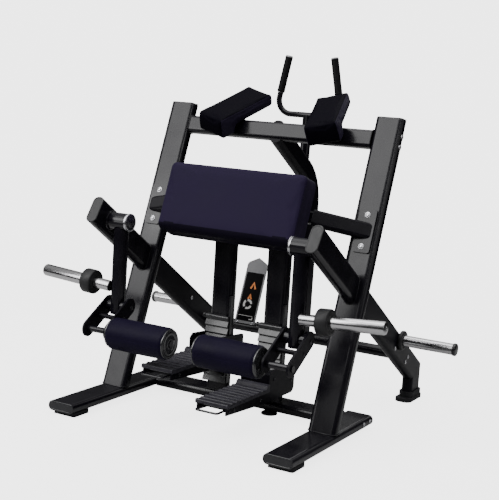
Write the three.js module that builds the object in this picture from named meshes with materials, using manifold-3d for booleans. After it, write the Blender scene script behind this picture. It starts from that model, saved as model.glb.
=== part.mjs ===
// Plate-loaded standing leg curl machine, in millimetres, +Z up.
// X runs across the machine, Y runs from the user's back to the machine's rear, Z is up.
// The machine is laid out with Y = 0 where the uprights' front faces would meet the floor,
// and the whole group is then moved so that its origin is the middle of the footprint.
import * as THREE from 'three';
import { mergeVertices } from 'three/addons/utils/BufferGeometryUtils.js';
import Module from 'manifold-3d';

const wasm = await Module();
wasm.setup();

// ---------- driving dimensions ----------
const GAP = 0.3;                 // weld or seating gap between two separate pieces
const WALL = 3;                  // tube wall
const LEAN = 19.6 * Math.PI / 180;   // uprights, hip pad and placard all lean back by this
const FOOTPRINT_MIDDLE_Y = 341.75; // middle of the machine's depth, from the uprights' feet

const FRAME_X = 492;             // centre of each upright, rail and brace
const TUBE_W = 120;              // wide side of the uprights and rails
const TUBE_D = 50;               // narrow side of the uprights
const TUBE_R = 20;               // rounding of the flat-oval tubes

const RAIL_BOTTOM = 17;
const RAIL_TOP = 57;
const RAIL_W = 124;
const RAIL_FRONT = -314;
const CROSSBEAM_Y = 315;
const RAIL_REAR = CROSSBEAM_Y + TUBE_W / 2;
const UPRIGHT_TOP = 1334;        // along the lean
const BEAM_S = 1241;             // top beam's height along the lean
const BEAM_H = 75;

const BRACE_D = 114;             // brace tube, tall side
const BRACE_SLOPE = 32.66 * Math.PI / 180;
const PIVOT = { y: -76, z: 773 };          // arm pivot, on the brace's centre line
const BRACE_FRONT_REACH = 84;    // brace tip beyond the pivot
const LEG_Y = 930;               // rear leg centre
const LEG_BOTTOM = 14;

const POST_X = 128;              // height-adjustment posts and foot plates
const POST_Y = 287;
const POST_W = 102;
const POST_TOP = 872;
const RACK_PITCH = 30;
const RACK_BOTTOM = 100;
const RACK_TEETH = 9;
const RACK_GUIDE_TOP = 471;      // the guide strip stands above the teeth
const TOOTH_REACH = 26;          // rack teeth, forward from the post's face
const TOOTH_ROOT = 16;           // and the gaps between them
const LEFT_PLATE_STEPS = 3;      // the left foot plate hangs this many teeth higher

const SPINE_D = 94;
const SPINE_Y = 781;
const CROSS_TUBE_Z = 226;
const CROSS_TUBE_R = 25;
const HANDLE_Y = 700;
const HANDLE_Z = 1232;
const HANDLE_R = 12.7;
const GRIP_R = 17;

const PAD_HALF_W = 316;
const PAD_FRONT_Q = -241;        // Q is the distance behind the uprights' front plane
const PAD_BACK_Q = -136;
const PAD_BOTTOM_S = 709;
const PAD_TOP_S = 1008;
const CARRIER_S = 862;
const ELBOW_UNDERSIDE = -8;       // an elbow pad's underside, from the level its outline is drawn at
const ELBOW_NOSE = -46;           // how far an elbow pad's front end hangs down
const ELBOW_FRONT = -149;         // an elbow pad's ends, along its length
const ELBOW_REAR = 163;
const ELBOW_TOP = 44;
const ELBOW_HALF_W = 69;
const PLACARD_X = -284;
const PLACARD_TOP = 318;          // apex, along the lean
const PLACARD_HALF_W = 54;
const CARRIER_HALF_W = 322;

const ARM_X = 410;
const ARM_R = 30;
const ARM_BOTTOM = 396;
const HUB_R = 35;
const SHAFT_R = 17.5;
const PLATE_GAP = 96;            // clear width between the roller bracket's plates
const PLATE_T = 8;
const PLATE_R = 34;
const ROLLER = { y: -200, z: 347, r: 64, inner: 66, outer: 338 };
const ROLLER_SHAFT_R = 12.5;
const HORN_Y = -98;
const HORN_Z = 507;
const HORN_TILT = 3.7 * Math.PI / 180;
const SLEEVE_R = 25;             // weight plates with a 50 mm hole
const STORAGE = { y: 705, z: 308, end: 768 };

const TREAD = { half: 72, front: -191, rear: 140, top: 155, thick: 18, ribs: 9 };
const CARRIAGE_X = 61;           // inner face of each carriage side plate from the post centre
const CARRIAGE_T = 6;
const LEVER = { y: -165, z: 125, reach: 60, half: 48, r: 4.5 };

// ---------- finishes ----------
const finish = (color, roughness, metalness) =>
  new THREE.MeshStandardMaterial({ color, roughness, metalness });
const blackPaint = () => finish(0x17171a, 0.25, 0.1);
const blackRubber = () => finish(0x151516, 0.8, 0);
const vinyl = () => finish(0x29263a, 0.55, 0);
const chrome = () => finish(0xc9c9cc, 0.15, 1);
const greyPaint = () => finish(0x77777a, 0.5, 0.2);
const ribbedRubber = () => finish(0x2f2c35, 0.6, 0);
const bronze = () => finish(0xa07a45, 0.4, 1);

const machine = new THREE.Group();
machine.position.y = -FOOTPRINT_MIDDLE_Y;
const leaning = new THREE.Group();     // local Y is Q, local Z runs up the lean
leaning.rotation.x = -LEAN;
machine.add(leaning);

const X = new THREE.Vector3(1, 0, 0);
const Y = new THREE.Vector3(0, 1, 0);
const Z = new THREE.Vector3(0, 0, 1);
const vec = (x, y, z) => new THREE.Vector3(x, y, z);
const SIDES = [['left', -1], ['right', 1]];

// Adds a named piece; its origin is the middle of its own box.
function addPiece(parent, name, geometry, material) {
  geometry.computeBoundingBox();
  const middle = geometry.boundingBox.getCenter(new THREE.Vector3());
  geometry.translate(-middle.x, -middle.y, -middle.z);
  geometry.computeVertexNormals();
  const mesh = new THREE.Mesh(geometry, material);
  mesh.name = name;
  mesh.position.copy(middle);
  parent.add(mesh);
  return mesh;
}

// ---------- solids ----------
function toSolid(geometry) {
  const bare = new THREE.BufferGeometry();
  bare.setAttribute('position', geometry.attributes.position);
  if (geometry.index) bare.setIndex(geometry.index);
  const merged = mergeVertices(bare, 1e-3);
  return new wasm.Manifold(new wasm.Mesh({
    numProp: 3,
    vertProperties: new Float32Array(merged.attributes.position.array),
    triVerts: new Uint32Array(merged.index.array),
  }));
}

function toGeometry(solid) {
  const mesh = solid.getMesh();
  const geometry = new THREE.BufferGeometry();
  geometry.setAttribute('position', new THREE.BufferAttribute(new Float32Array(mesh.vertProperties), 3));
  geometry.setIndex(new THREE.BufferAttribute(new Uint32Array(mesh.triVerts), 1));
  return geometry;
}

const join = (...geometries) => toGeometry(geometries.map(toSolid).reduce((a, b) => a.add(b)));
const cut = (geometry, ...tools) => toGeometry(
  tools.map(toSolid).reduce((a, b) => a.subtract(b), toSolid(geometry)));

// ---------- shapes ----------
function roundedOutline(path, width, height, radius) {
  const w = width / 2;
  const h = height / 2;
  path.moveTo(w, -h + radius);
  path.lineTo(w, h - radius);
  path.absarc(w - radius, h - radius, radius, 0, Math.PI / 2, false);
  path.absarc(-w + radius, h - radius, radius, Math.PI / 2, Math.PI, false);
  path.absarc(-w + radius, -h + radius, radius, Math.PI, 1.5 * Math.PI, false);
  path.absarc(w - radius, -h + radius, radius, 1.5 * Math.PI, 2 * Math.PI, false);
  return path;
}

// Flat-oval section; a wall above zero makes it a tube.
function flatOval(width, height, radius, wall = 0) {
  const shape = roundedOutline(new THREE.Shape(), width, height, radius);
  if (wall > 0) {
    shape.holes.push(roundedOutline(new THREE.Path(), width - 2 * wall, height - 2 * wall, radius - wall));
  }
  return shape;
}

function disc(radius, hole = 0) {
  const shape = new THREE.Shape().absarc(0, 0, radius, 0, 2 * Math.PI, false);
  if (hole > 0) shape.holes.push(new THREE.Path().absarc(0, 0, hole, 0, 2 * Math.PI, false));
  return shape;
}

// Runs a section along straight stretches, mitred where they meet. The section's x follows
// `side`, which every stretch is square to; the two ends are cut square to their normals.
function mitredTube(section, points, side, startNormal, endNormal, curveSegments = 4) {
  const spans = points.length - 1;
  const geometry = new THREE.ExtrudeGeometry(section, {
    depth: spans, steps: spans, bevelEnabled: false, curveSegments,
  });
  const runs = points.slice(1).map((point, i) => point.clone().sub(points[i]).normalize());
  const normals = points.map((_, i) => {
    if (i === 0) return startNormal ?? runs[0];
    if (i === spans) return endNormal ?? runs[spans - 1];
    return runs[i - 1].clone().add(runs[i]).normalize();
  });
  const position = geometry.attributes.position;
  const corner = new THREE.Vector3();
  for (let i = 0; i < position.count; i += 1) {
    const station = Math.round(position.getZ(i));
    const run = runs[Math.min(station, spans - 1)];
    const up = run.clone().cross(side);
    corner.set(0, 0, 0).addScaledVector(side, position.getX(i)).addScaledVector(up, position.getY(i));
    corner.addScaledVector(run, -corner.dot(normals[station]) / run.dot(normals[station]));
    corner.add(points[station]);
    position.setXYZ(i, corner.x, corner.y, corner.z);
  }
  return geometry;
}

// Replaces each inner corner of a route by an arc of the given radius.
function filleted(points, radius, steps = 6) {
  const route = [points[0]];
  for (let i = 1; i < points.length - 1; i += 1) {
    const back = points[i - 1].clone().sub(points[i]).normalize();
    const ahead = points[i + 1].clone().sub(points[i]).normalize();
    const halfAngle = back.angleTo(ahead) / 2;
    const reach = radius / Math.tan(halfAngle);
    const bisector = back.clone().add(ahead).normalize();
    const centre = points[i].clone().addScaledVector(bisector, radius / Math.sin(halfAngle));
    const from = points[i].clone().addScaledVector(back, reach).sub(centre);
    const axis = from.clone().cross(points[i].clone().addScaledVector(ahead, reach).sub(centre)).normalize();
    const sweep = Math.PI - 2 * halfAngle;
    for (let k = 0; k <= steps; k += 1) {
      route.push(from.clone().applyAxisAngle(axis, sweep * k / steps).add(centre));
    }
  }
  route.push(points[points.length - 1]);
  return route;
}

// A turned piece about an axis along X. The profile lists [distance along X, radius].
function turnedAlongX(profile, x, y, z, direction = 1, segments = 24) {
  const outline = profile.map(([along, radius]) => new THREE.Vector2(radius, along));
  if (THREE.ShapeUtils.area(outline) < 0) outline.reverse();
  const geometry = new THREE.LatheGeometry(outline, segments);
  geometry.rotateZ(-Math.PI / 2);
  if (direction < 0) geometry.rotateY(Math.PI);
  geometry.translate(x, y, z);
  return geometry;
}

const rodAlongX = (radius, from, to, y, z, segments = 24) =>
  turnedAlongX([[0, 0], [0, radius], [Math.abs(to - from), radius], [Math.abs(to - from), 0]],
    Math.min(from, to), y, z, 1, segments);

function block(x0, x1, y0, y1, z0, z1) {
  const geometry = new THREE.BoxGeometry(Math.abs(x1 - x0), y1 - y0, z1 - z0);
  geometry.translate((x0 + x1) / 2, (y0 + y1) / 2, (z0 + z1) / 2);
  return geometry;
}

// A plate lying in the YZ plane; its shape is drawn as (y, z).
function platedAlongX(shape, from, to, curveSegments = 8) {
  const geometry = new THREE.ExtrudeGeometry(shape, {
    depth: Math.abs(to - from), bevelEnabled: false, curveSegments,
  });
  geometry.rotateX(Math.PI / 2);
  geometry.rotateZ(Math.PI / 2);
  geometry.translate(Math.min(from, to), 0, 0);
  return geometry;
}

// ---------- places on the lean and on the braces ----------
const leanUp = vec(0, Math.sin(LEAN), Math.cos(LEAN));
const leanBack = vec(0, Math.cos(LEAN), -Math.sin(LEAN));
const onLean = (x, q, s) => vec(x, 0, 0).addScaledVector(leanBack, q).addScaledVector(leanUp, s);
const braceRun = vec(0, Math.cos(BRACE_SLOPE), -Math.sin(BRACE_SLOPE));
const braceHeight = (y) => PIVOT.z - (y - PIVOT.y) * Math.tan(BRACE_SLOPE);
// Point on the brace's centre line at distance q behind the uprights' front plane.
function braceAtPlane(x, q) {
  const start = vec(x, PIVOT.y, PIVOT.z);
  return start.addScaledVector(braceRun, (q - start.dot(leanBack)) / braceRun.dot(leanBack));
}

// ---------- frame ----------
function footRail(side) {
  const z = (RAIL_BOTTOM + RAIL_TOP) / 2;
  const section = flatOval(RAIL_W, RAIL_TOP - RAIL_BOTTOM, 18, WALL);
  return mitredTube(section, [vec(side * FRAME_X, RAIL_FRONT, z), vec(side * FRAME_X, RAIL_REAR, z)], X);
}

function floorCrossbeam() {
  const z = (RAIL_BOTTOM + RAIL_TOP) / 2;
  const reach = FRAME_X - RAIL_W / 2 - GAP;
  const section = flatOval(TUBE_W, RAIL_TOP - RAIL_BOTTOM, 18, WALL);
  return mitredTube(section, [vec(-reach, CROSSBEAM_Y, z), vec(reach, CROSSBEAM_Y, z)], Y);
}

function upright(side) {
  const middle = TUBE_D / 2;
  const foot = (RAIL_TOP + GAP + middle * Math.sin(LEAN)) / Math.cos(LEAN);
  const level = vec(0, -Math.sin(LEAN), Math.cos(LEAN));
  const route = [vec(side * FRAME_X, middle, foot), vec(side * FRAME_X, middle, UPRIGHT_TOP)];
  return mitredTube(flatOval(TUBE_W, TUBE_D, TUBE_R, WALL), route, X, level, Z);
}

function topBeam(swell = 0) {
  const reach = FRAME_X - TUBE_W / 2 - GAP;
  const section = flatOval(TUBE_D + 2 * swell, BEAM_H + 2 * swell, 16, swell > 0 ? 0 : WALL);
  return mitredTube(section, [vec(-reach, TUBE_D / 2, BEAM_S), vec(reach, TUBE_D / 2, BEAM_S)], Y);
}

const braceSection = () => flatOval(TUBE_D, BRACE_D, 22, WALL);

function pivotArm(side) {
  const x = side * FRAME_X;
  const tip = vec(x, PIVOT.y, PIVOT.z).addScaledVector(braceRun, -BRACE_FRONT_REACH);
  return mitredTube(braceSection(), [tip, braceAtPlane(x, -GAP)], X, null, leanBack);
}

function rearBrace(side) {
  const x = side * FRAME_X;
  const knee = vec(x, LEG_Y, braceHeight(LEG_Y));
  const route = [braceAtPlane(x, TUBE_D + GAP), knee, vec(x, LEG_Y, LEG_BOTTOM + GAP)];
  return mitredTube(braceSection(), route, X, leanBack, Z.clone().negate());
}

function rearFoot(side) {
  const x = side * FRAME_X;
  const sole = mitredTube(flatOval(74, 165, 28), [vec(x, LEG_Y - 15, 0), vec(x, LEG_Y - 15, 16)], X);
  const cup = mitredTube(flatOval(66, 132, 28), [vec(x, LEG_Y, 4), vec(x, LEG_Y, 40)], X);
  const socket = mitredTube(flatOval(TUBE_D + 2 * GAP, BRACE_D + 2 * GAP, 22),
    [vec(x, LEG_Y, LEG_BOTTOM), vec(x, LEG_Y, 60)], X);
  return cut(join(sole, cup), socket);
}

function frontFoot(side) {
  const section = flatOval(106, 98, 10);
  return mitredTube(section, [vec(side * FRAME_X, -247, 0), vec(side * FRAME_X, -247, RAIL_BOTTOM - GAP)], X);
}

function levellingFoot(side) {
  const top = RAIL_BOTTOM - GAP;
  const profile = [[0, 0], [34, 0], [35, 4], [28, 10], [10, 12], [10, top], [0, top]];
  const geometry = new THREE.LatheGeometry(profile.map(([r, z]) => new THREE.Vector2(r, z)), 32);
  geometry.rotateX(Math.PI / 2);
  geometry.translate(side * POST_X, POST_Y - 6, 0);
  return geometry;
}

const crossTubeRod = (radius, half) => rodAlongX(radius, -half, half, SPINE_Y, CROSS_TUBE_Z);

function rearCrossTube() {
  const reach = FRAME_X - TUBE_D / 2 - GAP;
  return mitredTube(disc(CROSS_TUBE_R, CROSS_TUBE_R - WALL),
    [vec(-reach, SPINE_Y, CROSS_TUBE_Z), vec(reach, SPINE_Y, CROSS_TUBE_Z)], Y, null, null, 16);
}

// Centre line of the spine: from under the top beam, down and back, then upright.
function spineRoute() {
  const slope = 0.62;
  const start = onLean(0, 8, BEAM_S - 3);
  const knee = vec(0, SPINE_Y, start.z - slope * (SPINE_Y - start.y));
  return { slope, start, route: filleted([start, knee, vec(0, SPINE_Y, CROSS_TUBE_Z)], 190, 6) };
}

function spine() {
  const { start } = spineRoute();
  const throat = start.clone().addScaledVector(vec(0, 1, -spineRoute().slope).normalize(), 40);
  const root = mitredTube(flatOval(57, SPINE_D - 1, 23.5), [start, throat], X, leanBack, null, 3);
  const beam = topBeam(GAP);
  beam.rotateX(-LEAN);
  const tube = mitredTube(flatOval(58, SPINE_D, 24, WALL), spineRoute().route, X, leanBack, null, 3);
  return cut(join(tube, root), beam, crossTubeRod(CROSS_TUBE_R + GAP, 60));
}

function placardPlate() {
  const outline = new THREE.Shape();
  outline.moveTo(-PLACARD_HALF_W, 0);
  outline.lineTo(PLACARD_HALF_W, 0);
  outline.lineTo(PLACARD_HALF_W, PLACARD_TOP - 36);
  outline.lineTo(PLACARD_HALF_W - 8, PLACARD_TOP - 24);
  outline.lineTo(0, PLACARD_TOP);
  outline.lineTo(8 - PLACARD_HALF_W, PLACARD_TOP - 24);
  outline.lineTo(-PLACARD_HALF_W, PLACARD_TOP - 36);
  outline.closePath();
  const plate = new THREE.ExtrudeGeometry(outline, { depth: 4, bevelEnabled: false });
  plate.rotateX(Math.PI / 2);
  const tab = block(-20, 20, -0.5, 26, 0, 12);
  const bracket = join(plate, tab);
  bracket.rotateX(-LEAN);
  bracket.translate(PLACARD_X, SPINE_Y - 27, CROSS_TUBE_Z + 17);
  const seat = rodAlongX(CROSS_TUBE_R + GAP, PLACARD_X - 60, PLACARD_X + 60, SPINE_Y, CROSS_TUBE_Z);
  return cut(bracket, seat);
}

// ---------- posts with their tooth racks ----------
function post(side) {
  const route = [vec(side * POST_X, POST_Y, RAIL_TOP + GAP), vec(side * POST_X, POST_Y, POST_TOP)];
  return mitredTube(flatOval(POST_W, TUBE_D, 22, WALL), route, X);
}

// A toothed casting on the post's front, with a guide strip along the post's +X side.
function rack(side) {
  const back = POST_Y - TUBE_D / 2 - GAP;
  const outline = new THREE.Shape();
  outline.moveTo(back, RACK_BOTTOM);
  for (let i = 0; i < RACK_TEETH; i += 1) {
    const z = RACK_BOTTOM + i * RACK_PITCH;
    outline.lineTo(back - TOOTH_REACH + 1, z);
    outline.lineTo(back - TOOTH_REACH, z + 2);
    outline.lineTo(back - TOOTH_ROOT, z + 23);
    outline.lineTo(back - TOOTH_ROOT, z + RACK_PITCH - 2);
  }
  const top = RACK_BOTTOM + RACK_TEETH * RACK_PITCH;
  outline.lineTo(back - TOOTH_REACH, top);
  outline.absarc(back - TOOTH_REACH + 8, top + 8, 8, Math.PI, Math.PI / 2, true);
  outline.lineTo(back, top + 16);
  outline.closePath();
  const centre = side * POST_X;
  const teeth = platedAlongX(outline, centre - 54, centre + 54, 4);
  const web = block(centre + 50, centre + 58, back - 10, back, RACK_BOTTOM, RACK_GUIDE_TOP);
  const strip = block(centre + POST_W / 2 + GAP, centre + 58, back - 1, back + 7, RACK_BOTTOM, RACK_GUIDE_TOP);
  return join(teeth, web, strip);
}

// ---------- hip pad and its carrier ----------
function hipPad() {
  const route = [vec(0, PAD_FRONT_Q, 0), vec(0, PAD_BACK_Q - GAP, 0)];
  const middle = (PAD_BOTTOM_S + PAD_TOP_S) / 2;
  route.forEach((point) => point.setZ(middle));
  return mitredTube(flatOval(2 * PAD_HALF_W, PAD_TOP_S - PAD_BOTTOM_S, 30), route, X);
}

// Bar behind the pad, with two stubs that reach back to the posts.
function padCarrier() {
  const depth = 40;
  const bar = mitredTube(flatOval(depth, 48, 12),
    [-1, 1].map((end) => onLean(end * CARRIER_HALF_W, PAD_BACK_Q + depth / 2, CARRIER_S)), leanBack);
  const pieces = [bar];
  for (const side of [-1, 1]) {
    const x = side * POST_X;
    const start = onLean(x, PAD_BACK_Q + depth / 2, CARRIER_S);
    const end = vec(x, POST_Y - TUBE_D / 2 - GAP, start.z - 14);
    pieces.push(mitredTube(flatOval(60, 36, 10), [start, end], X, null, Y));
  }
  return join(...pieces);
}

// Flat-oval arm from a bolted plate on the upright to the end of the pad carrier.
function padArm(side) {
  const plateT = 8;
  const plate = mitredTube(flatOval(74, 176, 10),
    [vec(side * (FRAME_X + 2), -GAP - plateT, CARRIER_S), vec(side * (FRAME_X + 2), -GAP, CARRIER_S)], X);
  const route = [vec(side * (FRAME_X + 2), -GAP - plateT / 2, CARRIER_S),
    vec(side * (CARRIER_HALF_W + GAP), PAD_BACK_Q + 22, CARRIER_S)];
  const arm = mitredTube(flatOval(68, 38, 16), route, Z, Y.clone().negate(), X.clone().multiplyScalar(-side));
  return join(plate, arm);
}

// ---------- elbow pads ----------
// Sits a piece, drawn about the middle of the pad's underside, on its place over the beam.
function seatElbowPiece(geometry, side) {
  const turn = new THREE.Matrix4().makeRotationFromEuler(
    new THREE.Euler(23.3 * Math.PI / 180, -side * 15 * Math.PI / 180, side * 17 * Math.PI / 180, 'ZXY'));
  geometry.applyMatrix4(turn);
  geometry.translate(side * 223, 449, 1227);
  return geometry;
}

// Side view of an elbow pad, drawn as (length, height): a slab whose front end hangs down
// as a nose in front of the beam. Grown outwards by `swell`.
function elbowPadOutline(swell) {
  const front = ELBOW_FRONT - swell;
  const rear = ELBOW_REAR + swell;
  const outline = new THREE.Shape();
  outline.moveTo(front + 12, ELBOW_NOSE - swell);
  outline.lineTo(-74, ELBOW_NOSE - swell);
  outline.lineTo(-62 + swell, ELBOW_UNDERSIDE - swell);
  outline.lineTo(rear, ELBOW_UNDERSIDE - swell);
  outline.lineTo(rear, ELBOW_TOP - 10 + swell);
  outline.lineTo(rear - 10, ELBOW_TOP + swell);
  outline.lineTo(front + 12, ELBOW_TOP + swell);
  outline.lineTo(front, ELBOW_TOP - 14);
  outline.lineTo(front, ELBOW_NOSE + 14);
  outline.closePath();
  return outline;
}

function elbowPad(side) {
  return seatElbowPiece(platedAlongX(elbowPadOutline(0), -ELBOW_HALF_W, ELBOW_HALF_W), side);
}

function elbowBracket(side) {
  const plate = mitredTube(flatOval(84, 190, 8),
    [vec(0, 0, ELBOW_UNDERSIDE - 4), vec(0, 0, ELBOW_UNDERSIDE)], X);
  const wedge = block(side * 186, side * 252, 427, 477, 1185, 1213);
  const beam = topBeam(GAP);
  beam.rotateX(-LEAN);
  const padSpace = platedAlongX(elbowPadOutline(GAP), -80, 80);
  return cut(join(seatElbowPiece(plate, side), wedge), beam, seatElbowPiece(padSpace, side));
}

// ---------- handlebar ----------
const GRIP_TOP = vec(110, HANDLE_Y, 1486);
const HANDLE_CORNER = vec(161, HANDLE_Y, HANDLE_Z);

function handlebar() {
  const mirrored = (point) => vec(-point.x, point.y, point.z);
  const route = filleted([mirrored(GRIP_TOP), mirrored(HANDLE_CORNER), HANDLE_CORNER, GRIP_TOP], 60, 8);
  const bar = mitredTube(disc(HANDLE_R), route, Y, null, null, 8);
  const { slope, start } = spineRoute();
  const normal = vec(0, slope, 1).normalize();
  const footY = 668;
  const foot = vec(0, footY, start.z - slope * (footY - start.y)).addScaledVector(normal, SPINE_D / 2 + GAP);
  const stem = mitredTube(disc(22), [foot, vec(0, HANDLE_Y, HANDLE_Z)], X, normal, null, 12);
  return join(bar, stem);
}

function grip(side) {
  const run = HANDLE_CORNER.clone().sub(GRIP_TOP).normalize();
  const start = GRIP_TOP.clone().addScaledVector(run, 6);
  const end = GRIP_TOP.clone().addScaledVector(run, 160);
  for (const point of [start, end]) point.x *= side;
  return mitredTube(disc(GRIP_R, HANDLE_R + GAP), [start, end], Y, null, null, 12);
}

// ---------- swinging arms ----------
function pivotShaft(side) {
  const face = FRAME_X - TUBE_D / 2 - GAP;
  const profile = [[87, 0], [87, SHAFT_R], [12, SHAFT_R], [12, 36], [9, 40], [0, 40], [0, 0]];
  return turnedAlongX(profile, side * face, PIVOT.y, PIVOT.z, -side);
}

function ring(inner, outer, from, to, y, z, segments = 24) {
  const profile = [[0, inner], [to - from, inner], [to - from, outer], [0, outer], [0, inner]];
  return turnedAlongX(profile, from, y, z, 1, segments);
}

function ordered(side, near, far) {
  return side > 0 ? [near, far] : [-far, -near];
}

const BUSH_R = 22;

function pivotBush(side) {
  const [from, to] = ordered(side, 380, 440);
  return ring(SHAFT_R + GAP, BUSH_R, from, to, PIVOT.y, PIVOT.z);
}

const armRod = (side, radius) => mitredTube(disc(radius),
  [vec(side * ARM_X, PIVOT.y, ARM_BOTTOM), vec(side * ARM_X, PIVOT.y, PIVOT.z - BUSH_R)], X, null, null, 10);

// Round tube with the pivot barrel at its top and the bracket's cross barrel near its foot.
function swingArm(side) {
  const [from, to] = ordered(side, 376, 452);
  const barrel = rodAlongX(HUB_R, from, to, PIVOT.y, PIVOT.z);
  const foot = rodAlongX(22, side * ARM_X - PLATE_GAP / 2 + GAP, side * ARM_X + PLATE_GAP / 2 - GAP,
    PIVOT.y, 428);
  const bore = rodAlongX(BUSH_R + GAP, from - 1, to + 1, PIVOT.y, PIVOT.z);
  return cut(join(armRod(side, ARM_R), barrel, foot), bore);
}

function hubCap(side) {
  const profile = [[0, 0], [0, 37], [7, 37], [11, 33], [12, 0]];
  return turnedAlongX(profile, side * (376 - GAP), PIVOT.y, PIVOT.z, -side);
}

// Turned horn on the arm's outer side, tilted a little up towards its tip.
function weightHorn(side) {
  const length = 364;
  const shoulder = 122;
  const profile = [[0, 0], [0, 22], [shoulder, 22], [shoulder + 3, SLEEVE_R], [length - 7, SLEEVE_R],
    [length, SLEEVE_R - 6], [length, 0]];
  const horn = turnedAlongX(profile, 0, 0, 0, side);
  horn.rotateY(-side * HORN_TILT);
  horn.translate(side * ARM_X, HORN_Y, HORN_Z);
  return cut(horn, armRod(side, ARM_R + GAP));
}

function hornCollar(side) {
  const profile = [[100, 22 + GAP], [122, 22 + GAP], [125, SLEEVE_R + GAP], [151, SLEEVE_R + GAP],
    [151, 46], [147, 50], [104, 50], [100, 46], [100, 22 + GAP]];
  const collar = turnedAlongX(profile, 0, 0, 0, side);
  collar.rotateY(-side * HORN_TILT);
  collar.translate(side * ARM_X, HORN_Y, HORN_Z);
  return collar;
}

// Two round-ended plates, tied by a bar, that carry the roller shaft.
function rollerBracket(side) {
  const upper = new THREE.Vector2(-68, 430);
  const lower = new THREE.Vector2(ROLLER.y, ROLLER.z);
  const angle = lower.clone().sub(upper).angle();
  const outline = new THREE.Shape();
  outline.absarc(lower.x, lower.y, PLATE_R, angle - Math.PI / 2, angle + Math.PI / 2, false);
  outline.absarc(upper.x, upper.y, PLATE_R, angle + Math.PI / 2, angle + 1.5 * Math.PI, false);
  outline.closePath();
  outline.holes.push(new THREE.Path().absarc(lower.x, lower.y, ROLLER_SHAFT_R + GAP, 0, 2 * Math.PI, false));
  const half = PLATE_GAP / 2;
  const centre = side * ARM_X;
  const plates = [-1, 1].map((end) =>
    platedAlongX(outline, centre + end * half, centre + end * (half + PLATE_T), 8));
  const tie = rodAlongX(10, centre - half - 1, centre + half + 1, -134, 390, 16);
  return join(...plates, tie);
}

function rollerShaft(side) {
  const outer = ARM_X + PLATE_GAP / 2 + PLATE_T + 5;
  return rodAlongX(ROLLER_SHAFT_R, side * (ROLLER.inner - 6), side * outer, ROLLER.y, ROLLER.z, 24);
}

function roller(side) {
  const length = ROLLER.outer - ROLLER.inner;
  const bore = ROLLER_SHAFT_R + GAP;
  const profile = [[0, bore], [length, bore], [length, ROLLER.r - 5], [length - 5, ROLLER.r],
    [5, ROLLER.r], [0, ROLLER.r - 5], [0, bore]];
  return turnedAlongX(profile, side * ROLLER.inner, ROLLER.y, ROLLER.z, side);
}

function storageHorn(side) {
  const face = FRAME_X + TUBE_D / 2 + GAP;
  const length = STORAGE.end - face;
  const profile = [[0, 0], [0, 42], [14, 42], [17, 39], [17, SLEEVE_R - 1], [length - 14, SLEEVE_R - 1],
    [length - 14, 27], [length - 3, 27], [length, 23], [length, 0]];
  return turnedAlongX(profile, side * face, STORAGE.y, STORAGE.z, side);
}

// ---------- foot plates ----------
function tread(side, lift) {
  const { front, rear, top, thick, ribs, half } = TREAD;
  const outline = new THREE.Shape();
  outline.moveTo(front + 6, top - thick);
  outline.lineTo(rear, top - thick);
  outline.lineTo(rear, top + 6);
  outline.absarc(rear - 8, top + 6, 8, 0, Math.PI / 2, false);
  outline.lineTo(rear - 22, top + 10);
  const pitch = (rear - front - 30) / ribs;
  for (let i = 0; i < ribs; i += 1) {
    const y = rear - 28 - i * pitch;
    outline.lineTo(y, top - 3);
    outline.lineTo(y - pitch + 14, top - 3);
    outline.lineTo(y - pitch + 12, top);
    outline.lineTo(y - pitch + 2, top);
  }
  outline.lineTo(front + 2, top);
  outline.lineTo(front, top - 3);
  outline.lineTo(front, top - thick + 5);
  outline.closePath();
  const centre = side * POST_X;
  const plate = platedAlongX(outline, centre - half, centre + half, 4);
  plate.translate(0, 0, lift);
  return plate;
}

function carriageOutline() {
  const under = TREAD.top - TREAD.thick - GAP;
  const outline = new THREE.Shape();
  outline.moveTo(TREAD.front + 4, 112);
  outline.lineTo(120, 94);
  outline.lineTo(332, 94);
  outline.absarc(332, 120, 26, 1.5 * Math.PI, 2 * Math.PI, false);
  outline.lineTo(358, 196);
  outline.absarc(344, 196, 14, 0, Math.PI / 2, false);
  outline.lineTo(160, 222);
  outline.lineTo(TREAD.rear + GAP, 205);
  outline.lineTo(TREAD.rear + GAP, under);
  outline.lineTo(TREAD.front + 4, under);
  outline.closePath();
  outline.holes.push(new THREE.Path().absarc(LEVER.y, LEVER.z, LEVER.r + GAP, 0, 2 * Math.PI, false));
  return outline;
}

// Two side plates round the post, tied by bars under the tread, by the catch block in
// front of the teeth and by a keeper behind the post.
function carriage(side, lift) {
  const centre = side * POST_X;
  const sides = [-1, 1].map((end) => platedAlongX(carriageOutline(),
    centre + end * CARRIAGE_X, centre + end * (CARRIAGE_X + CARRIAGE_T), 6));
  const inner = CARRIAGE_X + 1;
  const front = POST_Y - TUBE_D / 2 - 26 - GAP;
  const ties = [
    block(centre - inner, centre + inner, -140, -110, 116, 132),
    block(centre - inner, centre + inner, 60, 90, 100, 132),
    block(centre - inner, centre + inner, TREAD.rear + 10, front - 3, 120, 200),
    block(centre - inner, centre + inner, POST_Y + TUBE_D / 2 + 4, 345, 110, 190),
  ];
  const body = join(...sides, ...ties);
  body.translate(0, 0, lift);
  return body;
}

// Sprung wire bail whose turned-out ends pivot in the carriage's side plates.
function releaseLever(side, lift) {
  const centre = side * POST_X;
  const { y, z, reach, half, r } = LEVER;
  const pinEnd = CARRIAGE_X + CARRIAGE_T + 2;
  const corners = [vec(-pinEnd, y, z), vec(-half, y, z), vec(-half, y - reach, z),
    vec(half, y - reach, z), vec(half, y, z), vec(pinEnd, y, z)];
  const route = filleted([...corners], 10, 3);
  const wire = mitredTube(disc(r), route, Z, null, null, 5);
  wire.translate(centre, 0, lift);
  return wire;
}

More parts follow.
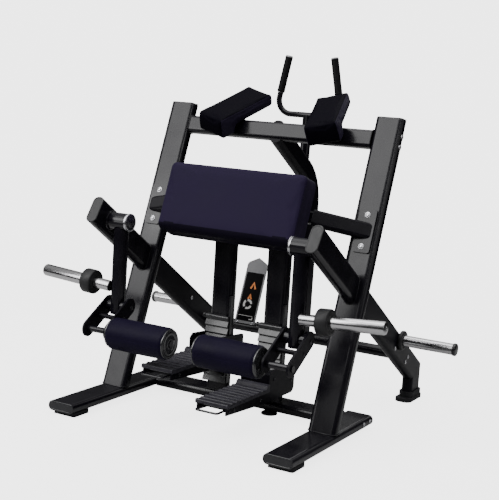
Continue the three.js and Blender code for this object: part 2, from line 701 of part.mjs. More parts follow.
// ---------- assembly ----------
addPiece(machine, 'floor_crossbeam', floorCrossbeam(), blackPaint());
addPiece(leaning, 'top_beam', topBeam(), blackPaint());
addPiece(machine, 'rear_cross_tube', rearCrossTube(), blackPaint());
addPiece(machine, 'spine', spine(), blackPaint());
addPiece(machine, 'placard_plate', placardPlate(), greyPaint());
addPiece(leaning, 'hip_pad', hipPad(), vinyl());
addPiece(machine, 'pad_carrier', padCarrier(), blackPaint());
addPiece(machine, 'handlebar', handlebar(), blackPaint());

for (const [label, side] of SIDES) {
  const lift = side < 0 ? LEFT_PLATE_STEPS * RACK_PITCH : 0;
  addPiece(machine, `${label}_foot_rail`, footRail(side), blackPaint());
  addPiece(machine, `${label}_front_foot`, frontFoot(side), blackRubber());
  addPiece(machine, `${label}_levelling_foot`, levellingFoot(side), blackRubber());
  addPiece(leaning, `${label}_upright`, upright(side), blackPaint());
  addPiece(machine, `${label}_pivot_arm`, pivotArm(side), blackPaint());
  addPiece(machine, `${label}_rear_brace`, rearBrace(side), blackPaint());
  addPiece(machine, `${label}_rear_foot`, rearFoot(side), blackRubber());
  addPiece(machine, `${label}_post`, post(side), blackPaint());
  addPiece(machine, `${label}_rack`, rack(side), blackPaint());
  addPiece(leaning, `${label}_pad_arm`, padArm(side), blackPaint());
  addPiece(machine, `${label}_elbow_bracket`, elbowBracket(side), blackPaint());
  addPiece(machine, `${label}_elbow_pad`, elbowPad(side), vinyl());
  addPiece(machine, `${label}_grip`, grip(side), blackRubber());
  addPiece(machine, `${label}_storage_horn`, storageHorn(side), chrome());
  addPiece(machine, `${label}_pivot_shaft`, pivotShaft(side), blackPaint());
  addPiece(machine, `${label}_pivot_bush`, pivotBush(side), bronze());
  addPiece(machine, `${label}_swing_arm`, swingArm(side), blackPaint());
  addPiece(machine, `${label}_hub_cap`, hubCap(side), blackPaint());
  addPiece(machine, `${label}_weight_horn`, weightHorn(side), chrome());
  addPiece(machine, `${label}_horn_collar`, hornCollar(side), blackRubber());
  addPiece(machine, `${label}_roller_bracket`, rollerBracket(side), blackPaint());
  addPiece(machine, `${label}_roller_shaft`, rollerShaft(side), chrome());
  addPiece(machine, `${label}_roller`, roller(side), vinyl());
  addPiece(machine, `${label}_tread`, tread(side, lift), ribbedRubber());
  addPiece(machine, `${label}_carriage`, carriage(side, lift), blackPaint());
  addPiece(machine, `${label}_release_lever`, releaseLever(side, lift), blackPaint());
}

export default machine;
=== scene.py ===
# Looks for the standing leg curl machine: finishes, upholstery, hardware, floor, light and camera.
# Units are metres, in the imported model's frame.
import math

import bmesh
import bpy
from mathutils import Matrix, Vector


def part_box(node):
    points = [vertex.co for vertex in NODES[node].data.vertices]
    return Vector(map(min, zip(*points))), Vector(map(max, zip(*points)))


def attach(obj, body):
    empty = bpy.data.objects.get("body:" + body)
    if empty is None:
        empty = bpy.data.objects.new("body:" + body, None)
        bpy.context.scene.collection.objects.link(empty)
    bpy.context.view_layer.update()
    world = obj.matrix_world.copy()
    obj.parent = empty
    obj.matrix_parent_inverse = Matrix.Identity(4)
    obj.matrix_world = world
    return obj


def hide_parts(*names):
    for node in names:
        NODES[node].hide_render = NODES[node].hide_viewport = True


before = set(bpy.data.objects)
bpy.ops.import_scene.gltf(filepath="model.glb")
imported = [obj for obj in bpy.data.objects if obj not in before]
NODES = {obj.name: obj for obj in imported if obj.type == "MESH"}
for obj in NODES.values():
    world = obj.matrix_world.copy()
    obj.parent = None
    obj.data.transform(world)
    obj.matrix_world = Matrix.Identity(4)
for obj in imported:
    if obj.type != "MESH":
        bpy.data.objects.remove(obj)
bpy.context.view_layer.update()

SCENE = bpy.context.scene
SIDES = (("left", -1), ("right", 1))

# ---------- places shared with the CAD ----------
LEAN = math.radians(19.6)
LEAN_UP = Vector((0, math.sin(LEAN), math.cos(LEAN)))
LEAN_BACK = Vector((0, math.cos(LEAN), -math.sin(LEAN)))
BRACE_SLOPE = math.radians(32.66)
BRACE_RUN = Vector((0, math.cos(BRACE_SLOPE), -math.sin(BRACE_SLOPE)))
BRACE_UP = Vector((0, math.sin(BRACE_SLOPE), math.cos(BRACE_SLOPE)))
FOOT_Y = -0.34175           # the uprights' front faces meet the floor here
FRAME_X = 492               # millimetres to the middle of each upright, rail and brace
ARM_X = 410                 # to the middle of each swinging arm's roller bracket
POST_X = 128                # to the middle of each foot plate's post
BRACE_START = (-76, 773)    # y and z where a brace's centre line passes the pivot
RAIL_SECTION = (124, 40, 18)        # width, height and corner radius of a tube
BRACE_SECTION = (50, 114, 22)
UPRIGHT_SECTION = (120, 50, 20)
UPRIGHT_TOP_SECTION = (120, 53, 20)     # the same tube cut level
BEAM_SECTION = (50, 75, 16)
POST_SECTION = (102, 50, 22)
PLATE_FACE = -8.3           # the pad arms' bolt plates, behind the uprights' front plane
X = Vector((1, 0, 0))
Y = Vector((0, 1, 0))
Z = Vector((0, 0, 1))


def at(x, y, z):
    """A point given in millimetres from where the uprights' front faces meet the floor."""
    return Vector((x / 1000, y / 1000 + FOOT_Y, z / 1000))


def on_lean(x, q, s):
    """A point given by x, the distance behind the uprights' front plane, and the height along the lean."""
    return Vector((x / 1000, FOOT_Y, 0)) + LEAN_BACK * (q / 1000) + LEAN_UP * (s / 1000)


# ---------- materials ----------
def new_material(name):
    material = bpy.data.materials.new(name)
    material.use_nodes = True
    nodes = material.node_tree.nodes
    nodes.clear()
    out = nodes.new("ShaderNodeOutputMaterial")
    shader = nodes.new("ShaderNodeBsdfPrincipled")
    material.node_tree.links.new(shader.outputs[0], out.inputs[0])
    return material, nodes, material.node_tree.links, shader


def noise(nodes, links, scale, detail=4.0, stretch=None):
    coords = nodes.new("ShaderNodeTexCoord")
    texture = nodes.new("ShaderNodeTexNoise")
    texture.inputs["Scale"].default_value = scale
    texture.inputs["Detail"].default_value = detail
    if stretch:
        mapping = nodes.new("ShaderNodeMapping")
        mapping.inputs["Scale"].default_value = stretch
        links.new(coords.outputs["Object"], mapping.inputs["Vector"])
        links.new(mapping.outputs[0], texture.inputs["Vector"])
    else:
        links.new(coords.outputs["Object"], texture.inputs["Vector"])
    return texture


def ramp(nodes, links, source, stops):
    node = nodes.new("ShaderNodeValToRGB")
    links.new(source, node.inputs[0])
    elements = node.color_ramp.elements
    while len(elements) < len(stops):
        elements.new(0.5)
    for element, (position, value) in zip(elements, stops):
        element.position = position
        element.color = (*value, 1) if isinstance(value, tuple) else (value, value, value, 1)
    return node.outputs[0]


def vary(nodes, links, shader, socket, source, stops):
    links.new(ramp(nodes, links, source.outputs[0], stops), shader.inputs[socket])


def add_bump(nodes, links, shader, height, strength, distance, under=None):
    node = nodes.new("ShaderNodeBump")
    node.inputs["Strength"].default_value = strength
    node.inputs["Distance"].default_value = distance
    links.new(height, node.inputs["Height"])
    if under:
        links.new(under, node.inputs["Normal"])
    links.new(node.outputs[0], shader.inputs["Normal"])
    return node.outputs[0]


def paint(name, dark, light, rough=(0.16, 0.24), coat=0.3):
    """Powder coat: slight orange peel, cloudy gloss."""
    material, nodes, links, shader = new_material(name)
    cloud = noise(nodes, links, 14, 5)
    vary(nodes, links, shader, "Base Color", cloud, [(0.3, dark), (0.75, light)])
    vary(nodes, links, shader, "Roughness", cloud, [(0.3, rough[0]), (0.7, rough[1])])
    shader.inputs["Specular IOR Level"].default_value = coat
    peel = noise(nodes, links, 260, 2)
    add_bump(nodes, links, shader, peel.outputs[0], 0.05, 0.0003)
    return material


def vinyl(name, dark, light, rough=0.55, grain=1400, shine=0.05):
    """Upholstery vinyl: pebbled grain, faint colour drift."""
    material, nodes, links, shader = new_material(name)
    drift = noise(nodes, links, 9, 6)
    vary(nodes, links, shader, "Base Color", drift, [(0.3, dark), (0.72, light)])
    vary(nodes, links, shader, "Roughness", drift, [(0.3, rough - 0.05), (0.7, rough + 0.08)])
    coords = nodes.new("ShaderNodeTexCoord")
    cells = nodes.new("ShaderNodeTexVoronoi")
    cells.inputs["Scale"].default_value = grain
    cells.feature = "SMOOTH_F1"
    links.new(coords.outputs["Object"], cells.inputs["Vector"])
    first = add_bump(nodes, links, shader, cells.outputs["Distance"], 0.25, 0.0005)
    soft = noise(nodes, links, 60, 3)
    add_bump(nodes, links, shader, soft.outputs[0], 0.12, 0.0015, first)
    shader.inputs["Specular IOR Level"].default_value = shine
    return material


def rubber(name, dark, light, rough=0.7, grain=900, shine=0.3):
    """Rubber or plastic: fine grain, uneven dulling."""
    material, nodes, links, shader = new_material(name)
    dust = noise(nodes, links, 35, 7)
    vary(nodes, links, shader, "Base Color", dust, [(0.35, dark), (0.75, light)])
    vary(nodes, links, shader, "Roughness", dust, [(0.3, rough - 0.08), (0.7, rough + 0.08)])
    fine = noise(nodes, links, grain, 2)
    add_bump(nodes, links, shader, fine.outputs[0], 0.3, 0.0004)
    shader.inputs["Specular IOR Level"].default_value = shine
    return material


def metal(name, colour, rough=(0.07, 0.16), stretch=(30, 900, 900)):
    """Plated steel with faint rub marks along its length."""
    material, nodes, links, shader = new_material(name)
    shader.inputs["Base Color"].default_value = (*colour, 1)
    shader.inputs["Metallic"].default_value = 1.0
    marks = noise(nodes, links, 1.0, 5, stretch)
    vary(nodes, links, shader, "Roughness", marks, [(0.35, rough[0]), (0.7, rough[1])])
    add_bump(nodes, links, shader, marks.outputs[0], 0.04, 0.0002)
    return material


BLACK = paint("black_powder_coat", (0.0042, 0.0037, 0.0060), (0.0062, 0.0055, 0.0084))
# painted shade: a darker, duller copy of the black powder coat, for parts that sit in shade
PAINTED_SHADE_COAT = paint("shaded_powder_coat", (0.0034, 0.0029, 0.0050), (0.0050, 0.0043, 0.0070), (0.30, 0.38), 0.09)
GREY_CAP = rubber("grey_plastic", (0.018, 0.018, 0.019), (0.027, 0.027, 0.028), 0.42)
BLACK_CAP = rubber("black_plastic", (0.007, 0.007, 0.009), (0.012, 0.012, 0.014), 0.2, 900, 0.45)
NAVY = vinyl("navy_vinyl", (0.0134, 0.0090, 0.0275), (0.0160, 0.0110, 0.0315))
# painted shade: a much darker copy of the navy vinyl for the elbow pads, for how little light their tops
# catch
ELBOW_SKIN_PAINTED_SHADE = vinyl("elbow_vinyl", (0.0017, 0.0013, 0.0034), (0.0025, 0.0019, 0.0046), 0.5, 1400, 0.02)
# painted shade: a darker copy of the navy vinyl for the cushion's rolled lower front band, which faces down
# away from the light
NAVY_UNDER_PAINTED_SHADE = vinyl("underside_vinyl", (0.0050, 0.0039, 0.0088), (0.0064, 0.0050, 0.0110), 0.5, 1400, 0.02)
# painted light: a lighter copy of the navy vinyl for the cushions' boxed sides, standing in for light falling
# on them
NAVY_SIDE_PAINTED_LIGHT = vinyl("side_vinyl", (0.016, 0.0125, 0.026), (0.020, 0.016, 0.032), 0.46)
ROLLER_SKIN = vinyl("roller_vinyl", (0.0050, 0.0034, 0.0122), (0.0066, 0.0046, 0.0158), 0.42, 1100, 0.05)
CHROME = metal("chrome", (0.46, 0.455, 0.465), (0.16, 0.27))
STEEL = metal("bolt_steel", (0.46, 0.46, 0.48), (0.2, 0.32), (400, 400, 400))
DARK_STEEL = metal("dark_steel", (0.06, 0.06, 0.066), (0.22, 0.34), (400, 400, 400))
RACK_PAINT = paint("rack_paint", (0.004, 0.004, 0.006), (0.008, 0.008, 0.010), (0.22, 0.34), 0.62)
BRONZE = metal("bronze", (0.5, 0.32, 0.14), (0.25, 0.4), (300, 300, 300))
DISC = rubber("disc_plastic", (0.016, 0.016, 0.018), (0.026, 0.026, 0.029), 0.14, 300, 0.7)
RUBBER = rubber("black_rubber", (0.008, 0.008, 0.010), (0.014, 0.014, 0.016))
TREAD = rubber("tread_rubber", (0.016, 0.0145, 0.021), (0.034, 0.032, 0.042), 0.45)
GRIP_RUBBER = rubber("grip_rubber", (0.005, 0.005, 0.006), (0.009, 0.009, 0.010), 0.5, 900, 0.1)
COLLAR = rubber("collar_plastic", (0.010, 0.010, 0.011), (0.016, 0.016, 0.017), 0.5)
GREY_PAINT = paint("grey_paint", (0.14, 0.14, 0.145), (0.17, 0.17, 0.175), (0.3, 0.42), 0.2)
LIGHT_GREY = rubber("light_grey_plastic", (0.30, 0.30, 0.31), (0.38, 0.38, 0.39), 0.4)
STICKER = paint("sticker_black", (0.0022, 0.0020, 0.0024), (0.0034, 0.0032, 0.0036), (0.3, 0.4), 0.02)
MARK_ORANGE = paint("mark_orange", (0.5, 0.13, 0.02), (0.62, 0.2, 0.04), (0.3, 0.4), 0.2)
MARK_PALE = paint("mark_pale", (0.42, 0.41, 0.40), (0.55, 0.54, 0.53), (0.3, 0.4), 0.2)

# ---------- mesh helpers ----------
def link(name, mesh, material, smooth=35):
    obj = bpy.data.objects.new(name, mesh)
    SCENE.collection.objects.link(obj)
    mesh.materials.append(material)
    if smooth:
        for polygon in mesh.polygons:
            polygon.use_smooth = True
        mesh.set_sharp_from_angle(angle=math.radians(smooth))
    return obj


def from_bmesh(name, bm, material, smooth=35):
    bmesh.ops.recalc_face_normals(bm, faces=bm.faces)
    mesh = bpy.data.meshes.new(name)
    bm.to_mesh(mesh)
    bm.free()
    return link(name, mesh, material, smooth)


def finish_piece(obj, body, replaces=(), bevel=0.0, segments=2):
    if bevel:
        modifier = obj.modifiers.new("edges", "BEVEL")
        modifier.width = bevel
        modifier.segments = segments
        modifier.limit_method = "ANGLE"
        modifier.angle_limit = math.radians(40)
        modifier.harden_normals = False
    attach(obj, body)
    if replaces:
        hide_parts(*replaces)
    return obj


def frame_of(axis, hint):
    """Rotation whose Z is axis and whose X is as near to hint as it can be."""
    z = axis.normalized()
    x = (hint - z * hint.dot(z)).normalized()
    return Matrix((x, z.cross(x), z)).transposed()


def revolve(bm, profile, origin, axis, segments=48):
    """Turns [(distance along the axis, radius)], in millimetres, about an axis."""
    hint = X if abs(axis.normalized().x) < 0.9 else Z
    rotation = frame_of(axis, hint)
    rings = []
    for along, radius in profile:
        if radius < 1e-6:
            rings.append([bm.verts.new(origin + rotation @ Vector((0, 0, along / 1000)))])
            continue
        ring = []
        for i in range(segments):
            angle = 2 * math.pi * i / segments
            local = Vector((radius * math.cos(angle), radius * math.sin(angle), along)) / 1000
            ring.append(bm.verts.new(origin + rotation @ local))
        rings.append(ring)
    for a, b in zip(rings, rings[1:]):
        for i in range(segments):
            j = (i + 1) % segments
            corners = [a[i % len(a)], a[j % len(a)], b[j % len(b)], b[i % len(b)]]
            unique = list(dict.fromkeys(corners))
            if len(unique) > 2:
                bm.faces.new(unique)


def turned(name, profile, origin, axis, material, segments=48, smooth=35):
    bm = bmesh.new()
    revolve(bm, profile, origin, axis, segments)
    return from_bmesh(name, bm, material, smooth)


def oval_points(width, height, radius, steps=6):
    points = []
    for cx, cy, start in ((1, 1, 0), (-1, 1, 90), (-1, -1, 180), (1, -1, 270)):
        for k in range(steps + 1):
            angle = math.radians(start + 90 * k / steps)
            points.append((cx * (width / 2 - radius) + radius * math.cos(angle),
                           cy * (height / 2 - radius) + radius * math.sin(angle)))
    return points


def prism(bm, outline, origin, rotation, levels):
    """Stacks an outline in millimetres; levels are (height, inset)."""
    rings = []
    cx = sum(p[0] for p in outline) / len(outline)
    cy = sum(p[1] for p in outline) / len(outline)
    half_w = max(abs(p[0] - cx) for p in outline)
    half_h = max(abs(p[1] - cy) for p in outline)
    for height, inset in levels:
        ring = []
        for px, py in outline:
            x = cx + (px - cx) * (1 - inset / half_w)
            y = cy + (py - cy) * (1 - inset / half_h)
            ring.append(bm.verts.new(origin + rotation @ (Vector((x, y, height)) / 1000)))
        rings.append(ring)
    count = len(outline)
    for a, b in zip(rings, rings[1:]):
        for i in range(count):
            j = (i + 1) % count
            bm.faces.new([a[i], a[j], b[j], b[i]])
    bm.faces.new(rings[-1])
    bm.faces.new(list(reversed(rings[0])))


def plug(name, width, height, radius, origin, normal, hint, material, thick=3.0, dome=1.5):
    """Moulded end plug: a rim with a rounded edge and a slightly sunk face."""
    bm = bmesh.new()
    levels = [(-6, 3.4), (0, 3.4), (0.2, 0), (thick - dome, 0), (thick - dome * 0.4, dome * 0.35),
              (thick, dome), (thick, 5.5), (thick - 0.8, 6.5)]
    prism(bm, oval_points(width, height, radius), origin, frame_of(normal, hint), levels)
    return from_bmesh(name, bm, material, 30)


def bolt_into(bm, point, normal, head=8.5, height=4.5):
    """Washer and domed button head with a hex socket ring."""
    washer = head * 1.3
    revolve(bm, [(0, 0), (0, washer), (1.3, washer), (1.5, washer - 0.4), (1.5, head), (2.2, head),
                 (height * 0.75, head * 0.86), (height, head * 0.5), (height, head * 0.42),
                 (height - 1.6, head * 0.4), (height - 1.6, 0)], point, normal, 20)


def bolts(name, points, body, head=8.5, height=4.5, material=None):
    bm = bmesh.new()
    for point, normal in points:
        bolt_into(bm, point, normal, head, height)
    return finish_piece(from_bmesh(name, bm, material or STEEL, 40), body)


def bead(name, points, radius, body, closed=True, material=None, wobble=0.12):
    """Weld bead or welt that follows a loop of points."""
    bm = bmesh.new()
    count = len(points)
    rings = []
    for i, point in enumerate(points):
        before = points[i - 1] if closed or i > 0 else points[i]
        after = points[(i + 1) % count] if closed or i < count - 1 else points[i]
        rotation = frame_of(after - before, Z if abs((after - before).normalized().z) < 0.9 else X)
        r = radius * (1 + wobble * math.sin(i * 2.4)) / 1000
        rings.append([bm.verts.new(point + rotation @ Vector((r * math.cos(a), r * math.sin(a), 0)))
                      for a in (2 * math.pi * k / 8 for k in range(8))])
    last = count if closed else count - 1
    for i in range(last):
        a, b = rings[i], rings[(i + 1) % count]
        offset = min(range(8), key=lambda k: (a[0].co - b[k].co).length)
        for k in range(8):
            m = (k + 1) % 8
            bm.faces.new([a[k], a[m], b[(m + offset) % 8], b[(k + offset) % 8]])
    if not closed:
        bm.faces.new(rings[0])
        bm.faces.new(rings[-1])
    return finish_piece(from_bmesh(name, bm, material or BLACK, 60), body)


def section_loop(width, height, radius, origin, rotation, steps=8, run=None, normal=None):
    """A section's outline round a tube, slid along run onto the plane through origin if given."""
    loop = []
    for px, py in oval_points(width, height, radius, steps):
        offset = rotation @ (Vector((px, py, 0)) / 1000)
        if run is not None:
            offset -= run * (offset.dot(normal) / run.dot(normal))
        loop.append(origin + offset)
    return loop


# ---------- finishes on the imported nodes ----------
# the pad arms, spine, rear braces, roller brackets and carriages take the painted-shade copy of the powder
# coat
FINISH = {
    "front_foot": RUBBER, "levelling_foot": RUBBER, "rear_foot": RUBBER, "placard_plate": GREY_PAINT,
    "tread": TREAD, "rack": RACK_PAINT, "pivot_bush": BRONZE, "pad_arm": PAINTED_SHADE_COAT, "spine": PAINTED_SHADE_COAT,
    "rear_brace": PAINTED_SHADE_COAT, "roller_bracket": PAINTED_SHADE_COAT, "carriage": PAINTED_SHADE_COAT,
}
BEVEL = {
    "tread": 0.0012, "rack": 0.0012, "carriage": 0.0015, "roller_bracket": 0.0015, "placard_plate": 0.001,
    "elbow_bracket": 0.0012, "pad_carrier": 0.0015, "swing_arm": 0.0012, "front_foot": 0.002,
}
for name, obj in NODES.items():
    kind = name.replace("left_", "").replace("right_", "")
    obj.data.materials.clear()
    obj.data.materials.append(FINISH.get(kind, BLACK))
    for polygon in obj.data.polygons:
        polygon.use_smooth = True
    obj.data.set_sharp_from_angle(angle=math.radians(32))
    if kind in BEVEL:
        modifier = obj.modifiers.new("edges", "BEVEL")
        modifier.width = BEVEL[kind]
        modifier.segments = 2
        modifier.limit_method = "ANGLE"
        modifier.angle_limit = math.radians(50)

# the flat bolt plate of each pad arm catches the light as its upright does
for side_name, side in SIDES:
    arm_node = NODES[f"{side_name}_pad_arm"]
    arm_node.data.materials.append(BLACK)
    for polygon in arm_node.data.polygons:
        depth_in = (arm_node.matrix_world @ polygon.center - on_lean(0, PLATE_FACE, 0)).dot(LEAN_BACK)
        polygon.material_index = 1 if abs(depth_in) < 0.0008 else 0


# ---------- upholstery ----------
SWELL_FRAMES = 20


def swell(obj, voxel, squeeze, cap, held):
    """Remeshes a slightly small shape and lets pressure fill it; held points stay put."""
    bpy.context.view_layer.objects.active = obj
    obj.select_set(True)
    remesh = obj.modifiers.new("remesh", "REMESH")
    remesh.mode = "VOXEL"
    remesh.voxel_size = voxel
    bpy.ops.object.modifier_apply(modifier="remesh")
    start = [v.co.copy() for v in obj.data.vertices]
    pins = obj.vertex_groups.new(name="board")
    pins.add([v.index for v in obj.data.vertices if held(v.co)], 1.0, "REPLACE")
    cloth = obj.modifiers.new("cloth", "CLOTH")
    cloth.settings.quality = 4
    cloth.settings.mass = 0.3
    cloth.settings.tension_stiffness = 18
    cloth.settings.compression_stiffness = 18
    cloth.settings.shear_stiffness = 8
    cloth.settings.bending_stiffness = 1.5
    cloth.settings.use_pressure = True
    cloth.settings.uniform_pressure_force = squeeze
    cloth.settings.effector_weights.gravity = 0
    cloth.settings.vertex_group_mass = "board"
    cloth.point_cache.frame_start = 1
    cloth.point_cache.frame_end = SWELL_FRAMES
    for step in range(1, SWELL_FRAMES + 1):
        SCENE.frame_set(step)
    bpy.ops.object.modifier_apply(modifier="cloth")
    SCENE.frame_set(1)
    for vertex, rest in zip(obj.data.vertices, start):
        moved = vertex.co - rest
        if moved.length > cap:
            vertex.co = rest + moved * (cap / moved.length)
    for polygon in obj.data.polygons:
        polygon.use_smooth = True
    obj.select_set(False)
    return obj


def upholster(obj, body, node):
    """Smooths a finished cushion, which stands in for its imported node."""
    divide = obj.modifiers.new("smooth", "SUBSURF")
    divide.levels = 1
    divide.render_levels = 1
    finish_piece(obj, body, (node,))


def cushion(name, width, height, depth, corner, origin, rotation, material, side_painted_light_material, body, node, voxel,
            squeeze=4.0, cap=0.008, edge=9.0, toe=0.0):
    """A boxed cushion on a flat board. Local x, y span the face and +z leaves the board.
    Its faces swell under pressure while the rim near the board stays put.
    The lower front edge rolls back over the height `toe`, in metres."""
    bm = bmesh.new()
    levels = [(0, 1.5), (2, 0), (depth * 0.3, 0), (depth * 0.6, 0), (depth - edge, 0)]
    for k in range(1, 5):
        angle = math.radians(90 * k / 4)
        levels.append((depth - edge + edge * math.sin(angle), edge * (1 - math.cos(angle))))
    levels.append((depth, edge + 8))
    prism(bm, oval_points(width, height, corner, 6), Vector(), Matrix.Identity(3), levels)
    obj = swell(from_bmesh(name, bm, material, 0), voxel, squeeze, cap, lambda co: co.z < 0.006)
    mesh = obj.data
    half_w = width / 2000
    half_h = height / 2000
    seam = (depth - edge - 1) / 1000
    for vertex in mesh.vertices:
        co = vertex.co
        reach = toe - half_h - co.y
        if reach > 0:
            co.z *= 1 - 750 * toe / depth * (reach / toe) ** 2
        inset = min(half_w + 0.004 - abs(co.x), half_h + 0.004 - abs(co.y))
        if inset < 0.016:
            groove = 0.0016 * math.exp(-((co.z - seam) / 0.0022) ** 2)
            out = Vector((co.x / half_w, co.y / half_h, 0))
            if abs(out.x) > abs(out.y):
                co.x -= math.copysign(groove, co.x)
            else:
                co.y -= math.copysign(groove, co.y)
    mesh.materials.append(side_painted_light_material)
    mesh.materials.append(NAVY_UNDER_PAINTED_SHADE)
    for polygon in mesh.polygons:
        polygon.use_smooth = True
        # painted light: the sides below the seam take the lighter side copy of the vinyl
        polygon.material_index = 0 if polygon.center.z > seam else 1
        # painted shade: the rolled lower front band takes the darker underside copy of the vinyl
        if polygon.center.y < 1.1 * toe - half_h:
            polygon.material_index = 2
    mesh.transform(Matrix.Translation(origin) @ rotation.to_4x4())
    upholster(obj, body, node)
    return obj


PAD_W, PAD_H, PAD_DEPTH = 628.0, 292.0, 96.0
PAD_CORNER = 24
PAD_TOE = 0.030
PAD_TURN = Matrix((X, LEAN_UP, LEAN_BACK * -1)).transposed()
PAD_ORIGIN = on_lean(0, -137.0, 858.5)
cushion("hip_cushion", PAD_W, PAD_H, PAD_DEPTH, PAD_CORNER, PAD_ORIGIN, PAD_TURN, NAVY, NAVY_SIDE_PAINTED_LIGHT, "frame",
        "hip_pad", voxel=0.006, squeeze=4.0, cap=0.003, edge=12.0, toe=PAD_TOE)
board = bmesh.new()
prism(board, oval_points(PAD_W - 16, PAD_H - 16, 22), PAD_ORIGIN, PAD_TURN,
      [(-1.5, 1), (-1, 0), (2, 0)])
finish_piece(from_bmesh("hip_pad_board", board, BLACK_CAP, 30), "frame")

ELBOW_WIDTH = 139.0
ELBOW_BASE = (223, 449, 1227)
ELBOW_YAW, ELBOW_PITCH, ELBOW_ROLL = 17, 23.3, 15       # degrees
ELBOW_PROFILE = [(-147, -30), (-144, -40), (-137, -45.5), (-82, -45.5), (-74, -42), (-65, -16), (-57, -8),
                 (110, -8), (157, -7), (162, -2), (163.5, 16), (162.5, 36), (157, 43), (110, 44.5), (0, 45),
                 (-110, 44.5), (-142, 43), (-148, 38), (-149.5, 22), (-149.5, 0)]
for side_name, side in SIDES:
    turn = (Matrix.Rotation(math.radians(side * ELBOW_YAW), 3, "Z")
            @ Matrix.Rotation(math.radians(ELBOW_PITCH), 3, "X")
            @ Matrix.Rotation(math.radians(-side * ELBOW_ROLL), 3, "Y"))
    base = at(side * ELBOW_BASE[0], *ELBOW_BASE[1:])
    half = ELBOW_WIDTH / 2
    bm = bmesh.new()
    prism(bm, ELBOW_PROFILE, Vector(), Matrix((Y, Z, X)).transposed(),
          [(-half, 5), (-half + 1.0, 2.4), (-half + 3, 0.7), (-half + 6, 0), (half - 6, 0), (half - 3, 0.7),
           (half - 1.0, 2.4), (half, 5)])
    pad = swell(from_bmesh(f"{side_name}_elbow_cushion", bm, ELBOW_SKIN_PAINTED_SHADE, 0), 0.005, 3.0, 0.0025,
                lambda co: co.z < 0.004 and co.y > -0.05)
    for vertex in pad.data.vertices:
        co = vertex.co
        if abs(co.x) > half / 1000 - 0.004 and co.z > 0.004:
            co.x -= math.copysign(0.0012 * math.exp(-((co.z - 0.034) / 0.0022) ** 2), co.x)
    # painted light: the elbow pads' flat sides take the lighter side copy of the vinyl, unlike their
    # painted-shade tops
    pad.data.materials.append(NAVY_SIDE_PAINTED_LIGHT)
    for polygon in pad.data.polygons:
        if abs(polygon.normal.x) > 0.72:
            polygon.material_index = 1
    pad.data.transform(Matrix.Translation(base) @ turn.to_4x4())
    upholster(pad, "frame", f"{side_name}_elbow_pad")

# ---------- rollers ----------
for side_name, side in SIDES:
    low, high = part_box(f"{side_name}_roller")
    centre = (low + high) / 2
    length = (high.x - low.x) * 1000
    radius = (high.z - low.z) * 500
    body = f"{side_name}_roller"
    bm = bmesh.new()
    profile = []
    steps = 40
    for k in range(steps + 1):
        t = k / steps
        along = -length / 2 + 5 + (length - 10) * t
        end = min(t, 1 - t) * (length - 10)
        shoulder = 4.5
        drop = 0 if end > shoulder else shoulder * (1 - math.sqrt(max(0, 1 - (1 - end / shoulder) ** 2)))
        crown = 1.2 * (1 - (2 * t - 1) ** 2)
        profile.append((along, radius - 1.6 + crown - drop))
    profile = [(profile[0][0], 44)] + profile + [(profile[-1][0], 44)]
    revolve(bm, profile, centre, X, 96)
    for vertex in bm.verts:
        away = vertex.co - centre
        angle = math.atan2(away.z, away.y)
        radial = Vector((0, away.y, away.z))
        if radial.length > 0.05:
            sag = 0.00012 * math.sin(angle * 5 + vertex.co.x * 40)
            sag += 0.0001 * math.sin(angle * 3 - vertex.co.x * 55)
            seam = 0.0016 * math.exp(-((abs(angle) - math.pi) / 0.03) ** 2)
            vertex.co += radial.normalized() * (sag - seam)
    skin = from_bmesh(f"{side_name}_roller_cushion", bm, ROLLER_SKIN, 50)
    finish_piece(skin, body, (f"{side_name}_roller",))
    for end in (-1, 1):
        face = centre + X * (end * (length / 2000 - 0.0055))
        disc = turned(f"{side_name}_roller_disc_{'inner' if end * side < 0 else 'outer'}",
                      [(-2, 13.2), (-2, 57), (2.5, 58.5), (5.0, 58), (6.6, 56), (7.0, 52), (5.6, 48),
                       (4.8, 38), (5.4, 28), (7.6, 24), (8.6, 20), (8.6, 15), (7.6, 13.2), (-2, 13.2)],
                      face, X * end, DISC, 64)
        finish_piece(disc, body)

